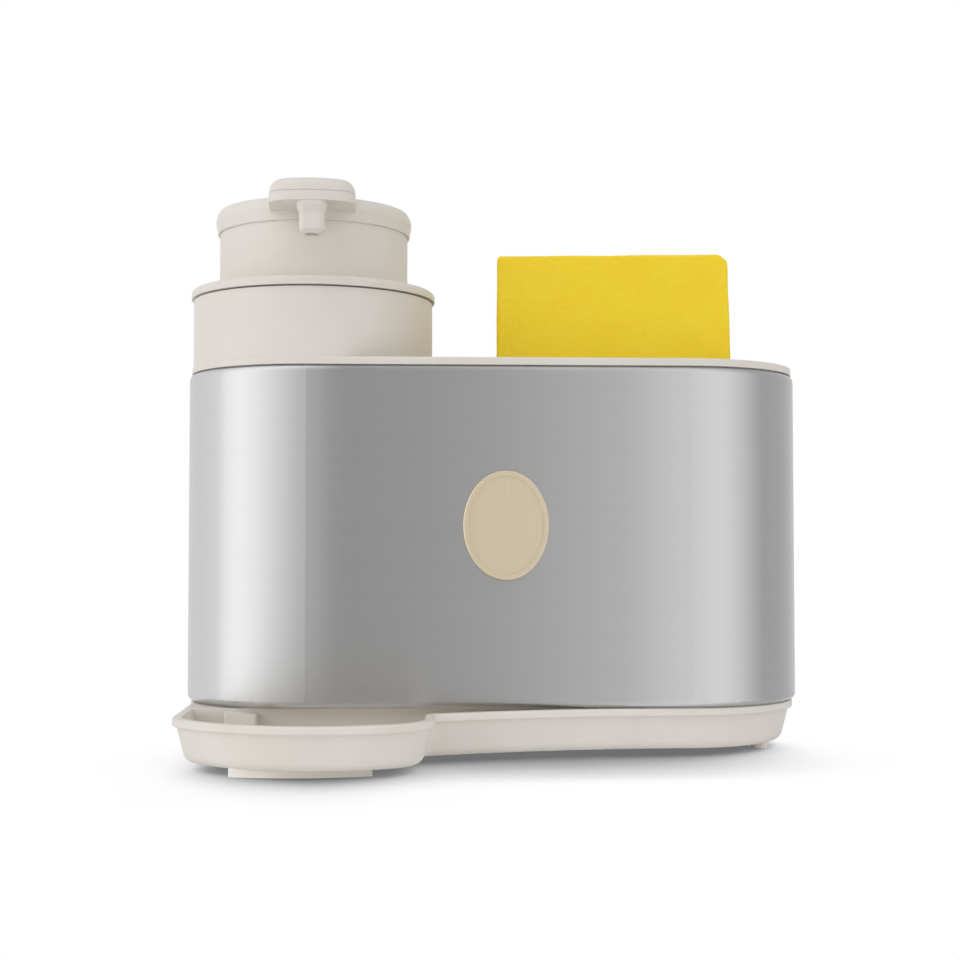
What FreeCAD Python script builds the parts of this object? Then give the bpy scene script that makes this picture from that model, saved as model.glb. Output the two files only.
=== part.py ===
"""Soap pump caddy: a steel-clad caddy on a drip tray, with a pump bottle and a sponge on its stand.

Millimetres, +Z up. The pieces are drawn about the middle of the caddy body, with the front towards -Y and
the standing surface at z = 0. Each finished piece is then shifted so that the origin is the bottom centre
of the whole object's box.
"""
import FreeCAD
import Part
import math
import os

Vector = FreeCAD.Vector
UP = Vector(0, 0, 1)

# Steel sleeve round the body
BODY_LENGTH = 220.0
BODY_DEPTH = 89.0
SLEEVE_HEIGHT = 116.4
SLEEVE_SHEET = 0.6
HEM_WIDTH = 2.0
HEM_BEND = 2.4
HEM_FIT = 0.1
SLEEVE_FIT = 0.2
SLEEVE_LIFT = 0.1
SEAM_GAP = 0.4

# Drip tray and its feet
FOOT_HEIGHT = 2.6
TRAY_HEIGHT = 14.3
TRAY_FLOOR = 2.0
TRAY_WALL = 1.6
TRAY_INSET = 1.1
LIP_HEIGHT = 2.7
LIP_OUT = 1.4
LIP_ROUND = 0.7
WALL_TAPER = 3.0
TRAY_BOTTOM_ROUND = 3.5
DISH_REACH = 50.4
DISH_BULGE = 14.05
DISH_SHIFT = 6.05
DISH_LEFT_INSET = 1.9
DISH_LEFT_JOIN = 10.0
DISH_RIGHT_REACH = 43.4
DISH_CORNER = 20.0
DISH_SIDE = 9.5
DISH_JOIN = 3.0
CURB_INSET = 6.4
CURB_WALL = 2.2
CURB_RISE = 0.1
NOTCH_COUNT = 3
NOTCH_PITCH = 32.0
NOTCH_WIDTH = 7.0
NOTCH_HEIGHT = 4.4
BLOCK_OFFSET = 16.3
BLOCK_WIDTH = 10.2
BLOCK_FRONT = 48.0
BLOCK_DROP = 0.2
BLOCK_FALL = 1.4
BLOCK_ROUND = 0.8
FOOT_SETBACK = 10.7
FOOT_WIDTH = 8.7
FOOT_LENGTH = 45.4
FOOT_CURVE = 77.7
FOOT_SHIFT = 6.0
FOOT_MEET = 1.2
FOOT_ROUND = 1.0
STRIP_WIDTH = 5.5
STRIP_LENGTH = 34.0
STRIP_OUT = 29.2

# Caddy shell and base cover
SHELL_WALL = 2.0
SHELL_FLOOR = 2.2
BASE_HOLLOW = 7.0
RIM_HEIGHT = 2.6
RIM_ROUND = 0.5
COVER_PLATE = 3.0
LOCATOR_HEIGHT = 2.0
LOCATOR_WALL = 1.6
LOCATOR_FIT = 0.5
DRAIN_RADIUS = 3.5
DRAIN_WALL = 1.5
DRAIN_FIT = 0.3
DRAIN_SPREAD = 18.0
BOSS_OUT = 22.0
BOSS_SIDE = 18.0
BOSS_RADIUS = 4.0
SCREW_RADIUS = 1.45
SCREW_FIT = 0.05
SCREW_HOLE_FIT = 0.3
SCREW_GRIP = 6.0
SCREW_HEAD_RADIUS = 3.0
SCREW_HEAD = 1.8
HEAD_RECESS = 2.0
CROSS_WIDTH = 0.8
CROSS_DEPTH = 0.9

# Plate on the front of the sleeve
BADGE_WIDTH = 29.0
BADGE_HEIGHT = 37.0
BADGE_THICK = 1.5
BADGE_RIM = 1.7
BADGE_SINK = 0.5
BADGE_ROUND = 0.4
BADGE_SHIFT = 2.0
BADGE_LIFT = 3.6
PAD_THICK = 0.5
PAD_MARGIN = 1.2

# Sponge and the stand that holds it
SPONGE_HEIGHT = 65.0
SPONGE_THICK = 30.0
SPONGE_LEAN = 15.0
SPONGE_TURN = 5.3
SPONGE_ROUND = 2.5
SPONGE_FIT = 0.4
SPONGE_FRONT_ROOM = 22.0
SPONGE_END_ROOM = 23.6
STAND_LEFT_ROOM = 18.8
STAND_RISE = 85.9
STAND_PANEL = 2.4
STAND_HEEL = 6.0
STAND_LIP = 7.0
STAND_REST = 26.0
STAND_BAR = 5.0
WINDOW_MARGIN = 9.0
WINDOW_HEIGHT = 50.0
WINDOW_ROUND = 5.0
SLOT_COUNT = 6
SLOT_WIDTH = 6.0
SLOT_LENGTH = 20.0

# Soap bottle
BOTTLE_WALL = 1.8
BOTTLE_FLOOR = 2.0
BOTTLE_FIT = 0.4
BOTTLE_STEP = 0.45
BOTTLE_RISE = 24.0
BOTTLE_GAP = 0.6
BOTTLE_ROUND = 3.0

# Pump lid with its gasket and guide cup
GASKET_THICK = 0.6
GASKET_INSET = 0.6
GASKET_FIT = 0.05
LID_OVERHANG = 0.85
LID_FLANGE = 3.3
LID_ROUND = 1.6
LID_PLUG = 10.0
PLUG_WALL = 1.8
PLUG_FIT = 0.3
CUP_WALL = 1.6
CUP_FLOOR = 2.2
CUP_FIT = 0.4
KEY_WIDTH = 3.0
KEY_FIT = 0.4

# Drum that carries the head
COLUMN_STEP = 9.15
COLUMN_WALL = 1.6
COLUMN_FIT = 0.4
COLUMN_SHOW = 20.6
COLUMN_OVERLAP = 2.6
BEAD_OUT = 1.2
BEAD_HEIGHT = 1.6
BEAD_FIT = 0.2
PUMP_STROKE = 11.0
STROKE_ROOM = 1.0
PUMP_TURN = 2.3

# Press head, beak and nozzle
HEAD_LIP = 1.3
HEAD_EDGE = 0.6
HEAD_FIT = 0.1
HEAD_BAND = 4.2
HEAD_ROUND = 3.9
HEAD_DOME = 2.6
HEAD_WALL = 2.2
BEAK_OVERHANG = 17.5
BEAK_WIDTH = 29.4
BEAK_FRONT_RADIUS = 30.0
BEAK_CORNER = 7.0
BEAK_DROP = 3.0
BEAK_BAND = 3.2
BEAK_COVER = 5.0
COVER_ROUND = 4.4
COVER_SEAM = 0.15
SEAM_LINE = 0.2
SEAM_DEPTH = 0.4
COVER_FIT = 0.1
POCKET_FLOOR = 2.0
POCKET_WALL = 2.0
CHANNEL_WIDTH = 5.0
CHANNEL_DEPTH = 1.8
CHANNEL_RIB = 2.0
HUB_RADIUS = 8.0
HUB_DROP = 9.2
SEAT_DISC = 1.4
NOZZLE_SETBACK = 5.5
NOZZLE_WIDTH = 8.5
NOZZLE_CORNER = 2.2
NOZZLE_LENGTH = 10.8
NOZZLE_FLARE = 0.95
NOZZLE_COLLAR = 4.0
NOZZLE_TIP = 1.2
NOZZLE_BORE = 2.2
SPIGOT_WALL = 1.3
SPIGOT_FIT = 0.05

# Plunger, barrel, valves, spring and dip tube
STEM_RADIUS = 4.0
STEM_BORE = 2.2
STEM_FIT = 0.05
BARREL_BORE = 8.0
BARREL_WALL = 1.5
BARREL_FLANGE = 14.5
FLANGE_THICK = 1.6
BARREL_FIT = 0.15
BUSH_PLUG = 5.2
BUSH_HEAD = 1.4
BUSH_BRIM = 1.5
BUSH_FIT = 0.05
RUNNING_FIT = 0.08
PISTON_HEIGHT = 9.0
PISTON_GAP = 0.8
PISTON_FIT = 0.5
SEAL_HEIGHT = 3.0
SEAL_DEPTH = 1.4
CHAMBER_ROOM = 3.0
WASHER_THICK = 1.0
NUT_HEIGHT = 5.0
NUT_FLAT = 13.5
INLET_BALL = 3.0
INLET_LIFT = 1.5
INLET_ROOM = 1.2
INLET_BORE = 2.2
OUTLET_BALL = 2.9
OUTLET_LIFT = 2.0
OUTLET_ROOM = 1.0
BALL_FIT = 0.05
STOP_FIT = 0.1
CAGE_HEIGHT = 1.5
CAGE_BAR = 1.6
CAGE_RING = 1.0
VALVE_FLOOR = 2.0
TAIL_WALL = 2.2
TUBE_RADIUS = 3.5
TUBE_WALL = 1.0
TUBE_SOCKET = 8.0
TUBE_END_GAP = 3.0
SPRING_RADIUS = 11.5
SPRING_WIRE = 1.3
SPRING_TURNS = 7

# Plan of the body: a stadium with a round end about each of two centres
END_RADIUS = BODY_DEPTH / 2
HALF_SPAN = BODY_LENGTH / 2 - END_RADIUS
BOTTLE_X = -HALF_SPAN
SHELL_RADIUS = END_RADIUS - SLEEVE_SHEET - SLEEVE_FIT
NECK_RADIUS = END_RADIUS - HEM_WIDTH - HEM_FIT
WELL_RADIUS = SHELL_RADIUS - SHELL_WALL

# Heights, from the standing surface up
TRAY_RIM = FOOT_HEIGHT + TRAY_HEIGHT
TRAY_INSIDE = FOOT_HEIGHT + TRAY_FLOOR
LIP_LOW = TRAY_RIM - LIP_HEIGHT
CADDY_BASE = TRAY_RIM + CURB_RISE
SLEEVE_LOW = CADDY_BASE + SLEEVE_LIFT
SLEEVE_TOP = SLEEVE_LOW + SLEEVE_HEIGHT
COVER_LOW = SLEEVE_LOW + SLEEVE_SHEET + HEM_FIT
SHELL_LOW = COVER_LOW + COVER_PLATE
FLOOR_LOW = SHELL_LOW + BASE_HOLLOW
FLOOR_TOP = FLOOR_LOW + SHELL_FLOOR
SHOULDER = SLEEVE_TOP - SLEEVE_SHEET - HEM_FIT
RIM_LOW = SLEEVE_TOP + HEM_FIT
RIM_TOP = RIM_LOW + RIM_HEIGHT
BOTTLE_LOW = FLOOR_TOP + BOTTLE_GAP
MOUTH = RIM_TOP + BOTTLE_RISE
LID_LOW = MOUTH + GASKET_THICK
LID_TOP = LID_LOW + LID_FLANGE
BEAD_TOP = LID_LOW - BEAD_FIT
COLUMN_LOW = BEAD_TOP - BEAD_HEIGHT
CUP_INSIDE = COLUMN_LOW - PUMP_STROKE - STROKE_ROOM
CUP_LOW = CUP_INSIDE - CUP_FLOOR
HEAD_LOW = LID_TOP + COLUMN_SHOW
COLUMN_TOP = HEAD_LOW + COLUMN_OVERLAP
BEAK_LOW = HEAD_LOW + BEAK_DROP
BEAK_SEAM = BEAK_LOW + BEAK_BAND
BEAK_TOP = BEAK_SEAM + BEAK_COVER
SPRING_SEAT = BEAK_SEAM - POCKET_FLOOR - SEAT_DISC
FLANGE_TOP = CUP_INSIDE + FLANGE_THICK
PISTON_TOP = FLANGE_TOP - BUSH_PLUG - PISTON_GAP
PISTON_LOW = PISTON_TOP - PISTON_HEIGHT
CHAMBER_LOW = PISTON_LOW - PUMP_STROKE - CHAMBER_ROOM
OUTLET_SIT = math.sqrt(OUTLET_BALL ** 2 - STEM_BORE ** 2) + BALL_FIT
STEM_TOP = BEAK_SEAM - STOP_FIT - OUTLET_LIFT - OUTLET_BALL - OUTLET_SIT
INLET_SIT = math.sqrt(INLET_BALL ** 2 - INLET_BORE ** 2) + BALL_FIT
INLET_STACK = INLET_SIT + INLET_BALL + INLET_LIFT + STOP_FIT + CAGE_HEIGHT
INLET_SEAT = CHAMBER_LOW - INLET_STACK
TUBE_TOP = INLET_SEAT - VALVE_FLOOR
TAIL_LOW = TUBE_TOP - TUBE_SOCKET

# Radii about the bottle's axis
BOTTLE_RADIUS = SHELL_RADIUS - BOTTLE_STEP
MOUTH_RADIUS = BOTTLE_RADIUS - BOTTLE_WALL
BARREL_RADIUS = BARREL_BORE + BARREL_WALL
COLUMN_RADIUS = BOTTLE_RADIUS - COLUMN_STEP
BEAD_RADIUS = COLUMN_RADIUS + BEAD_OUT
CUP_RADIUS = BEAD_RADIUS + CUP_FIT
PLUG_RADIUS = MOUTH_RADIUS - PLUG_FIT
HEAD_RADIUS = COLUMN_RADIUS + HEAD_FIT + HEAD_LIP
BEAK_REACH = HEAD_RADIUS + BEAK_OVERHANG

# Tray plan: round ends under the body, the dish in front of the bottle and a flare between them
TRAY_END = END_RADIUS - TRAY_INSET
LEFT_END = Vector(-HALF_SPAN, 0, 0)
RIGHT_END = Vector(HALF_SPAN, 0, 0)
DISH_DEPTH = END_RADIUS + DISH_REACH
DISH_LEFT = BOTTLE_X - TRAY_END + DISH_LEFT_INSET
DISH_RIGHT = BOTTLE_X + DISH_RIGHT_REACH
DISH_FRONT_RADIUS = (DISH_RIGHT - DISH_LEFT) / 2 + DISH_BULGE
FRONT_CENTRE = Vector((DISH_LEFT + DISH_RIGHT) / 2 + DISH_SHIFT, DISH_FRONT_RADIUS - DISH_DEPTH, 0)
WALL_FOOT = LIP_OUT + WALL_TAPER

# The finished object stands with its box centred on the origin
FRAME_SHIFT = Vector(0, (DISH_DEPTH - END_RADIUS) / 2, 0)


def in_front(centre, distance, x):
    """The point in front of a centre, at one x, whose distance from the centre is given."""
    drop = math.sqrt(distance ** 2 - (x - centre.x) ** 2)
    return Vector(x, centre.y - drop, 0)


# The dish's left side turns into the round end by a join arc. Its right side runs back to a second join arc,
# and the flare's arc runs from there to the body's straight front at the right end.
CORNER_RUN = DISH_FRONT_RADIUS - DISH_CORNER
LEFT_CORNER = in_front(FRONT_CENTRE, CORNER_RUN, DISH_LEFT + DISH_CORNER)
RIGHT_CORNER = in_front(FRONT_CENTRE, CORNER_RUN, DISH_RIGHT - DISH_CORNER)
TURN_CENTRE = in_front(LEFT_END, TRAY_END + DISH_LEFT_JOIN, DISH_LEFT - DISH_LEFT_JOIN)
JOIN_CENTRE = RIGHT_CORNER + Vector(DISH_CORNER + DISH_JOIN, DISH_SIDE, 0)
FLARE_RUN = HALF_SPAN - JOIN_CENTRE.x
FLARE_DROP = -TRAY_END - JOIN_CENTRE.y
FLARE_RADIUS = (FLARE_RUN ** 2 + FLARE_DROP ** 2 - DISH_JOIN ** 2) / (2 * (FLARE_DROP - DISH_JOIN))
FLARE_CENTRE = Vector(HALF_SPAN, -TRAY_END - FLARE_RADIUS, 0)


def unit(vector):
    """The direction of a vector."""
    return vector * (1 / vector.Length)


def arc(centre, radius, start, end):
    """Arc of under half a circle about a centre, from one direction to another."""
    first = centre + start * radius
    middle = centre + unit(start + end) * radius
    last = centre + end * radius
    return Part.Arc(first, middle, last).toShape()


def line(first, last):
    """Straight edge between two points."""
    return Part.LineSegment(first, last).toShape()


def tangent_arc(first, direction, last):
    """Arc from a point, leaving along a direction, to another point."""
    chord = last - first
    along = unit(chord)
    bulge = unit(direction - along * direction.dot(along))
    angle = math.acos(direction.dot(along))
    middle = first + chord * 0.5 + bulge * (chord.Length / 2 * math.tan(angle / 2))
    return Part.Arc(first, middle, last).toShape()


def prism(wire, low, high):
    """Flat closed outline carried straight up from one height to another."""
    face = Part.Face(wire)
    face.translate(Vector(0, 0, low))
    return face.extrude(UP * (high - low))


def level_edges(shape, height):
    """Edges that lie flat at one height."""
    found = []
    for edge in shape.Edges:
        box = edge.BoundBox
        if abs(box.ZMin - height) < 1e-4 and abs(box.ZMax - height) < 1e-4:
            found.append(edge)
    return found


def upright_edges(shape):
    """Straight edges that stand upright."""
    return [edge for edge in shape.Edges if edge.BoundBox.XLength < 1e-4 and edge.BoundBox.YLength < 1e-4]


def stadium(radius, low, high, round_low=0.0, round_top=0.0):
    """Block with two round ends, about the body's two end centres, with its level edges rounded."""
    right = Vector(1, 0, 0)
    front = Vector(0, -1, 0)
    edges = [
        arc(RIGHT_END, radius, front, right),
        arc(RIGHT_END, radius, right, -front),
        line(RIGHT_END - front * radius, LEFT_END - front * radius),
        arc(LEFT_END, radius, -front, -right),
        arc(LEFT_END, radius, -right, front),
        line(LEFT_END + front * radius, RIGHT_END + front * radius),
    ]
    block = prism(Part.Wire(edges), low, high)
    if round_top:
        block = block.makeFillet(round_top, level_edges(block, high))
    if round_low:
        block = block.makeFillet(round_low, level_edges(block, low))
    return block


def rod(radius, low, high, x=0.0, y=0.0):
    """Upright cylinder."""
    return Part.makeCylinder(radius, high - low, Vector(x, y, low))


def ring(outer, inner, low, high):
    """Upright tube about the axis."""
    return rod(outer, low, high).cut(rod(inner, low, high))


def turned(points):
    """Closed outline of (radius, height) points turned about the axis."""
    corners = [Vector(radius, 0, height) for radius, height in points]
    wire = Part.makePolygon(corners + corners[:1])
    return Part.Face(wire).revolve(Vector(), UP, 360)


def box(x_range, y_range, z_range):
    """Block between two values along each axis."""
    low = Vector(x_range[0], y_range[0], z_range[0])
    return Part.makeBox(x_range[1] - x_range[0], y_range[1] - y_range[0], z_range[1] - z_range[0], low)


def joined(first, *others):
    """One solid from pieces that meet, with the seams between their faces removed."""
    return first.fuse(list(others)).removeSplitter()


def at_bottle(shape):
    """Shape drawn about the axis, turned with the pump and moved to the bottle's place."""
    shape.rotate(Vector(), UP, PUMP_TURN)
    shape.translate(Vector(BOTTLE_X, 0, 0))
    return shape


def tray_wire(inset, height):
    """Tray outline set in by a margin: every arc keeps its centre and changes its radius."""
    right = Vector(1, 0, 0)
    front = Vector(0, -1, 0)
    end = TRAY_END - inset
    corner = DISH_CORNER - inset
    turn = DISH_LEFT_JOIN + inset
    join = DISH_JOIN + inset
    to_turn = unit(TURN_CENTRE - LEFT_END)
    to_left = unit(LEFT_CORNER - FRONT_CENTRE)
    to_right = unit(RIGHT_CORNER - FRONT_CENTRE)
    to_join = unit(JOIN_CENTRE - FLARE_CENTRE)
    edges = [
        arc(LEFT_END, end, -front, to_turn),
        arc(TURN_CENTRE, turn, -to_turn, right),
        line(TURN_CENTRE + right * turn, LEFT_CORNER - right * corner),
        arc(LEFT_CORNER, corner, -right, to_left),
        arc(FRONT_CENTRE, DISH_FRONT_RADIUS - inset, to_left, to_right),
        arc(RIGHT_CORNER, corner, to_right, right),
        line(RIGHT_CORNER + right * corner, JOIN_CENTRE - right * join),
        arc(JOIN_CENTRE, join, -right, to_join),
        arc(FLARE_CENTRE, FLARE_RADIUS + inset, to_join, -front),
        arc(RIGHT_END, end, front, right),
        arc(RIGHT_END, end, right, -front),
        line(RIGHT_END - front * end, LEFT_END - front * end),
    ]
    wire = Part.Wire(edges)
    wire.translate(Vector(0, 0, height))
    return wire


def tray_body():
    """Outside of the tray, filled: a lip round the rim, then a sloping wall with a rounded foot."""
    lip = prism(tray_wire(0, 0), LIP_LOW, TRAY_RIM)
    lip = lip.makeFillet(LIP_ROUND, level_edges(lip, TRAY_RIM) + level_edges(lip, LIP_LOW))
    wall = Part.makeLoft([tray_wire(LIP_OUT, TRAY_RIM), tray_wire(LIP_OUT, LIP_LOW)], True, True)
    slope = Part.makeLoft([tray_wire(LIP_OUT, LIP_LOW), tray_wire(WALL_FOOT, FOOT_HEIGHT)], True, True)
    slope = slope.makeFillet(TRAY_BOTTOM_ROUND, level_edges(slope, FOOT_HEIGHT))
    return joined(lip, wall, slope)


def drip_tray():
    """Open tray: a curb that carries the caddy, a shelf behind the dish and a block with a sloping top."""
    body = tray_body()
    inside = LIP_OUT + TRAY_WALL
    hollow_wires = [tray_wire(inside, TRAY_RIM), tray_wire(inside + WALL_TAPER, TRAY_INSIDE)]
    hollow = Part.makeLoft(hollow_wires, True, True)
    tray = body.cut(hollow)
    curb_radius = TRAY_END - CURB_INSET
    curb_hole = stadium(curb_radius - CURB_WALL, TRAY_INSIDE, CADDY_BASE)
    curb = stadium(curb_radius, TRAY_INSIDE, CADDY_BASE).cut(curb_hole)
    wall_depth = (-curb_radius, CURB_WALL - curb_radius)
    shelf_width = (DISH_LEFT, BOTTLE_X)
    shelf = box(shelf_width, (-curb_radius, 0), (TRAY_INSIDE, TRAY_RIM)).common(body).cut(curb_hole)
    shelf = shelf.cut(box(shelf_width, (CURB_WALL - curb_radius, 0), (TRAY_INSIDE, TRAY_RIM - CURB_WALL)))
    curb = joined(curb, shelf)
    for index in range(NOTCH_COUNT):
        left = BOTTLE_X + (index - (NOTCH_COUNT - 1) / 2) * NOTCH_PITCH - NOTCH_WIDTH / 2
        notch = box((left, left + NOTCH_WIDTH), wall_depth, (TRAY_INSIDE, TRAY_INSIDE + NOTCH_HEIGHT))
        curb = curb.cut(notch)
    block_right = BOTTLE_X - BLOCK_OFFSET
    block_left = block_right - BLOCK_WIDTH
    block_top = TRAY_RIM - BLOCK_DROP
    block_outline = Part.makePolygon([
        Vector(block_left, -BLOCK_FRONT, TRAY_INSIDE),
        Vector(block_right, -BLOCK_FRONT, TRAY_INSIDE),
        Vector(block_right, -BLOCK_FRONT, block_top - BLOCK_FALL),
        Vector(block_left, -BLOCK_FRONT, block_top),
        Vector(block_left, -BLOCK_FRONT, TRAY_INSIDE),
    ])
    block = Part.Face(block_outline).extrude(Vector(0, BLOCK_FRONT, 0))
    block = block.makeFillet(BLOCK_ROUND, upright_edges(block)).cut(curb_hole)
    return joined(tray, curb, block)


def front_foot():
    """Foot under the dish: part of a flat ring, cut to sit against the tray's underside."""
    place = Vector(FRONT_CENTRE.x - FOOT_SHIFT, FOOT_CURVE + FOOT_SETBACK - DISH_DEPTH, 0)
    span = math.degrees(2 * math.asin(FOOT_LENGTH / 2 / FOOT_CURVE))
    top = FOOT_HEIGHT + FOOT_MEET
    foot = Part.makeCylinder(FOOT_CURVE, top, place, UP, span)
    foot = foot.cut(Part.makeCylinder(FOOT_CURVE - FOOT_WIDTH, top, place, UP))
    foot.rotate(place, UP, 270 - span / 2)
    return foot.makeFillet(FOOT_ROUND, upright_edges(foot)).cut(tray_body())


def side_feet():
    """Strip foot near each end of the tray."""
    feet = []
    for side in (-1, 1):
        x = side * (HALF_SPAN + STRIP_OUT)
        half = STRIP_WIDTH / 2
        reach = STRIP_LENGTH / 2 - half
        bar = box((x - half, x + half), (-reach, reach), (0, FOOT_HEIGHT))
        ends = [rod(half, 0, FOOT_HEIGHT, x, -reach), rod(half, 0, FOOT_HEIGHT, x, reach)]
        feet.append(joined(bar, *ends))
    return Part.makeCompound(feet)


def steel_sleeve():
    """Sheet wrapped round the body, its top and bottom edges turned in, with a butt seam at the back."""
    skin = stadium(END_RADIUS, SLEEVE_LOW, SLEEVE_TOP, HEM_BEND, HEM_BEND)
    bend = HEM_BEND - SLEEVE_SHEET
    low = SLEEVE_LOW + SLEEVE_SHEET
    top = SLEEVE_TOP - SLEEVE_SHEET
    skin = skin.cut(stadium(END_RADIUS - SLEEVE_SHEET, low, top, bend, bend))
    skin = skin.cut(stadium(END_RADIUS - HEM_WIDTH, SLEEVE_LOW, SLEEVE_TOP))
    seam = box((-SEAM_GAP / 2, SEAM_GAP / 2), (0, BODY_DEPTH), (SLEEVE_LOW, SLEEVE_TOP))
    return skin.cut(seam)


def sponge_corner():
    """Lower left front corner of the sponge in its place."""
    x = BOTTLE_X + SHELL_RADIUS + STAND_LEFT_ROOM + STAND_PANEL + SPONGE_FIT
    return Vector(x, SPONGE_FRONT_ROOM - WELL_RADIUS, FLOOR_TOP + STAND_RISE)


def sponge_width():
    """Length of the sponge, from the stand's left end to the room left at the compartment's right end."""
    reach = HALF_SPAN + WELL_RADIUS - SPONGE_END_ROOM - sponge_corner().x
    return reach / math.cos(math.radians(SPONGE_TURN))


def drain_places():
    """Centre of each drain: one under the bottle, two under the sponge stand."""
    middle = sponge_corner().x + sponge_width() / 2
    return [(BOTTLE_X, 0.0), (middle - DRAIN_SPREAD, 0.0), (middle + DRAIN_SPREAD, 0.0)]


def screw_places():
    """Centre of each base screw."""
    out = HALF_SPAN + BOSS_OUT
    return [(x, y) for x in (-out, out) for y in (-BOSS_SIDE, BOSS_SIDE)]


def caddy_shell():
    """Moulded inner body: bottle well, open compartment, rim, hollow base with screw bosses and drains."""
    bend = HEM_BEND - SLEEVE_SHEET
    body = stadium(SHELL_RADIUS, SHELL_LOW, SHOULDER, 0, bend)
    neck = stadium(NECK_RADIUS, SHOULDER - bend, RIM_LOW)
    rim = stadium(SHELL_RADIUS, RIM_LOW, RIM_TOP, 0, RIM_ROUND)
    body = joined(body, neck, rim)
    well = rod(WELL_RADIUS, FLOOR_TOP, RIM_TOP, BOTTLE_X)
    divider = rod(SHELL_RADIUS, FLOOR_TOP, RIM_TOP, BOTTLE_X)
    left_end = box((-BODY_LENGTH, BOTTLE_X), (-BODY_DEPTH, BODY_DEPTH), (FLOOR_TOP, RIM_TOP))
    room = stadium(WELL_RADIUS, FLOOR_TOP, RIM_TOP).cut(divider).cut(left_end)
    base = stadium(WELL_RADIUS, SHELL_LOW, FLOOR_LOW)
    for x, y in screw_places():
        base = base.cut(rod(BOSS_RADIUS, SHELL_LOW, FLOOR_LOW, x, y))
    body = body.cut(well).cut(room).cut(base)
    for x, y in drain_places():
        body = body.fuse(rod(DRAIN_RADIUS + DRAIN_WALL, CADDY_BASE, FLOOR_LOW, x, y))
        body = body.cut(rod(DRAIN_RADIUS, CADDY_BASE, FLOOR_TOP, x, y))
    for x, y in screw_places():
        body = body.cut(rod(SCREW_RADIUS + SCREW_FIT, SHELL_LOW, SHELL_LOW + SCREW_GRIP, x, y))
    return body


def base_cover():
    """Plate that closes the base, with a foot through the sleeve's hem and a locating ring for the curb."""
    bend = HEM_BEND - SLEEVE_SHEET
    plate = stadium(SHELL_RADIUS, COVER_LOW, SHELL_LOW, bend, 0)
    foot = stadium(NECK_RADIUS, CADDY_BASE, SHELL_LOW)
    cover = joined(plate, foot)
    ring_radius = TRAY_END - CURB_INSET - CURB_WALL - LOCATOR_FIT
    locator = stadium(ring_radius, CADDY_BASE - LOCATOR_HEIGHT, CADDY_BASE)
    inner = stadium(ring_radius - LOCATOR_WALL, CADDY_BASE - LOCATOR_HEIGHT, CADDY_BASE)
    cover = joined(cover, locator.cut(inner))
    for x, y in drain_places():
        cover = cover.cut(rod(DRAIN_RADIUS + DRAIN_WALL + DRAIN_FIT, CADDY_BASE, SHELL_LOW, x, y))
    for x, y in screw_places():
        cover = cover.cut(rod(SCREW_HEAD_RADIUS + SCREW_HOLE_FIT, CADDY_BASE, CADDY_BASE + HEAD_RECESS, x, y))
        cover = cover.cut(rod(SCREW_RADIUS + SCREW_HOLE_FIT, CADDY_BASE, SHELL_LOW, x, y))
    return cover


def base_screws():
    """Pan-head screws with a cross recess, driven up from below."""
    screws = []
    seat = CADDY_BASE + HEAD_RECESS
    for x, y in screw_places():
        head = rod(SCREW_HEAD_RADIUS, seat - SCREW_HEAD, seat, x, y)
        shank = rod(SCREW_RADIUS, seat, SHELL_LOW + SCREW_GRIP - SCREW_RADIUS, x, y)
        screw = joined(head, shank)
        recess = (seat - SCREW_HEAD, seat - SCREW_HEAD + CROSS_DEPTH)
        long_half = SCREW_HEAD_RADIUS - CROSS_WIDTH
        short_half = CROSS_WIDTH / 2
        screw = screw.cut(box((x - long_half, x + long_half), (y - short_half, y + short_half), recess))
        screw = screw.cut(box((x - short_half, x + short_half), (y - long_half, y + long_half), recess))
        screws.append(screw)
    return Part.makeCompound(screws)


def oval(width, height, back, thick):
    """Upright oval plate on the sleeve's front, standing forward from its back plane."""
    long_half = height / 2
    short_half = width / 2
    curve = Part.Ellipse(Vector(0, 0, 0), long_half, short_half)
    face = Part.Face(Part.Wire(curve.toShape()))
    plate = face.extrude(UP * thick)
    plate.rotate(Vector(), UP, 90)
    plate.rotate(Vector(), Vector(1, 0, 0), 90)
    plate.translate(Vector(BADGE_SHIFT, back, (SLEEVE_LOW + SLEEVE_TOP) / 2 + BADGE_LIFT))
    return plate


def badge_pad():
    """Thin adhesive pad between the sleeve and the plate."""
    return oval(BADGE_WIDTH - 2 * PAD_MARGIN, BADGE_HEIGHT - 2 * PAD_MARGIN, -END_RADIUS, PAD_THICK)


def badge_plate():
    """Plain oval plate with a raised rim."""
    back = -END_RADIUS - PAD_THICK
    front = back - BADGE_THICK
    plate = oval(BADGE_WIDTH, BADGE_HEIGHT, back, BADGE_THICK)
    front_edges = [edge for edge in plate.Edges if abs(edge.BoundBox.YMax - front) < 1e-3]
    plate = plate.makeFillet(BADGE_ROUND, front_edges)
    field = oval(BADGE_WIDTH - 2 * BADGE_RIM, BADGE_HEIGHT - 2 * BADGE_RIM, front + BADGE_SINK, BADGE_SINK)
    return plate.cut(field)


def turned_in_place(shape):
    """Shape drawn from the sponge's lower left front corner, turned a little and moved into its place."""
    shape.rotate(Vector(), UP, -SPONGE_TURN)
    shape.translate(sponge_corner())
    return shape


def leaned(shape):
    """Shape drawn in the sponge's own frame (x along it, y through it, z up it), leaned back."""
    shape.rotate(Vector(), Vector(1, 0, 0), -SPONGE_LEAN)
    return shape


def leaned_point(through, up):
    """Where a point of the sponge's own frame lies once it is leaned back."""
    lean = math.radians(SPONGE_LEAN)
    across = through * math.cos(lean) + up * math.sin(lean)
    return Vector(0, across, up * math.cos(lean) - through * math.sin(lean))


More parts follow.
